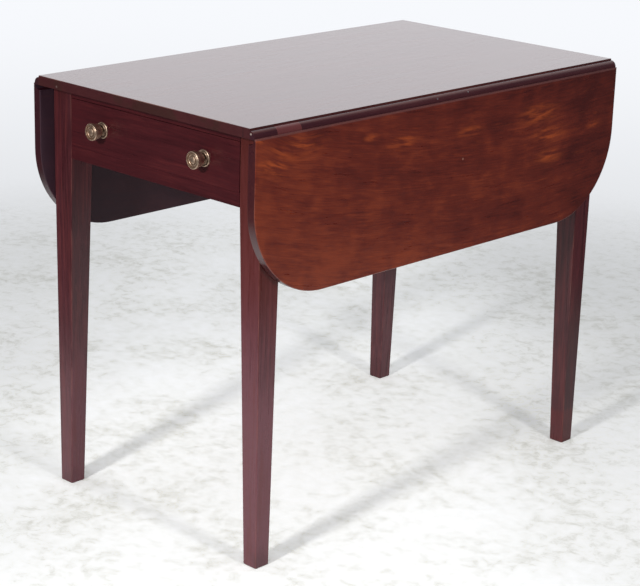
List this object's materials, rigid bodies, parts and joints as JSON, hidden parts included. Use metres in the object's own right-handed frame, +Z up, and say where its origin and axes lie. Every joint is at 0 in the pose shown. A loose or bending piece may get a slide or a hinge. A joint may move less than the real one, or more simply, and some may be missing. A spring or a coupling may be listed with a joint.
{
  "type": "pembroke table",
  "caption": "Drop-leaf occasional table with rule-jointed leaves on swing-out brackets, square tapered legs and a frieze drawer with turned knobs.",
  "frame": {"origin": "on the floor, under the middle of the top", "axes": "+Z up, +Y along the top away from the drawer end, +X across from leaf to leaf"},
  "size_m": [0.523, 0.89, 0.72],
  "materials": {
    "mahogany": "old French polish, satin to glossy, figured red-brown grain",
    "oak": "bare planed oak, darkened with age",
    "beech": "bare planed beech, toned with age",
    "pine": "bare sawn pine, dusty",
    "brass": "turned, lacquer gone, dulled",
    "iron": "wrought, browned"
  },
  "bodies": {
    "frame": {"drawer_kicker_left": "pine", "drawer_kicker_right": "pine", "drawer_lower_rail": "mahogany", "drawer_runner_left": "pine", "drawer_runner_right": "pine", "drawer_stops": "pine", "drawer_upper_rail": "mahogany", "end_rail": "mahogany", "fly_centre_block_left": "beech", "fly_centre_block_right": "beech", "fly_end_block_back_left": "beech", "fly_end_block_back_right": "beech", "fly_end_block_front_left": "beech", "fly_end_block_front_right": "beech", "fly_pins_left": "iron", "fly_pins_right": "iron", "glue_blocks": "pine", "hinge_pins": "iron", "hinge_top_flap_left_back": "iron", "hinge_top_flap_left_front": "iron", "hinge_top_flap_left_middle": "iron", "hinge_top_flap_right_back": "iron", "hinge_top_flap_right_front": "iron", "hinge_top_flap_right_middle": "iron", "hinge_top_screws": "iron", "leg_back_left": "mahogany", "leg_back_right": "mahogany", "leg_front_left": "mahogany", "leg_front_right": "mahogany", "rail_screws": "iron", "side_rail_left": "beech", "side_rail_right": "beech", "top_board": "mahogany", "top_screws": "iron"},
    "drawer": {"drawer_back": "oak", "drawer_bottom": "oak", "drawer_front": "mahogany", "drawer_side_left": "oak", "drawer_side_right": "oak", "knob_left": "brass", "knob_nuts": "iron", "knob_right": "brass", "knob_rose_left": "brass", "knob_rose_right": "brass"},
    "fly_bracket_back_left": {"fly_bracket_back_left": "beech"},
    "fly_bracket_back_right": {"fly_bracket_back_right": "beech"},
    "fly_bracket_front_left": {"fly_bracket_front_left": "beech"},
    "fly_bracket_front_right": {"fly_bracket_front_right": "beech"},
    "left_leaf": {"hinge_leaf_flap_left_back": "iron", "hinge_leaf_flap_left_front": "iron", "hinge_leaf_flap_left_middle": "iron", "hinge_leaf_screws_left": "iron", "leaf_left": "mahogany"},
    "right_leaf": {"hinge_leaf_flap_right_back": "iron", "hinge_leaf_flap_right_front": "iron", "hinge_leaf_flap_right_middle": "iron", "hinge_leaf_screws_right": "iron", "leaf_right": "mahogany"}
  },
  "joints": [
    {"name": "left_leaf_hinge", "type": "hinge", "parent": "frame", "child": "left_leaf", "pos_m": [-0.248, 0, 0.7065], "axis": [0, 1, 0], "range_deg": [0, 90]},
    {"name": "right_leaf_hinge", "type": "hinge", "parent": "frame", "child": "right_leaf", "pos_m": [0.248, 0, 0.7065], "axis": [0, -1, 0], "range_deg": [0, 90]},
    {"name": "drawer_slide", "type": "slide", "parent": "frame", "child": "drawer", "axis": [0, -1, 0], "range_m": [0, 0.38]},
    {"name": "fly_front_left_hinge", "type": "hinge", "parent": "frame", "child": "fly_bracket_front_left", "pos_m": [-0.227, -0.062, 0.645], "axis": [0, 0, -1], "range_deg": [0, 2.4]},
    {"name": "fly_front_right_hinge", "type": "hinge", "parent": "frame", "child": "fly_bracket_front_right", "pos_m": [0.227, -0.062, 0.645], "axis": [0, 0, 1], "range_deg": [0, 2.4]},
    {"name": "fly_back_left_hinge", "type": "hinge", "parent": "frame", "child": "fly_bracket_back_left", "pos_m": [-0.227, 0.062, 0.645], "axis": [0, 0, 1], "range_deg": [0, 2.4]},
    {"name": "fly_back_right_hinge", "type": "hinge", "parent": "frame", "child": "fly_bracket_back_right", "pos_m": [0.227, 0.062, 0.645], "axis": [0, 0, -1], "range_deg": [0, 2.4]}
  ]
}
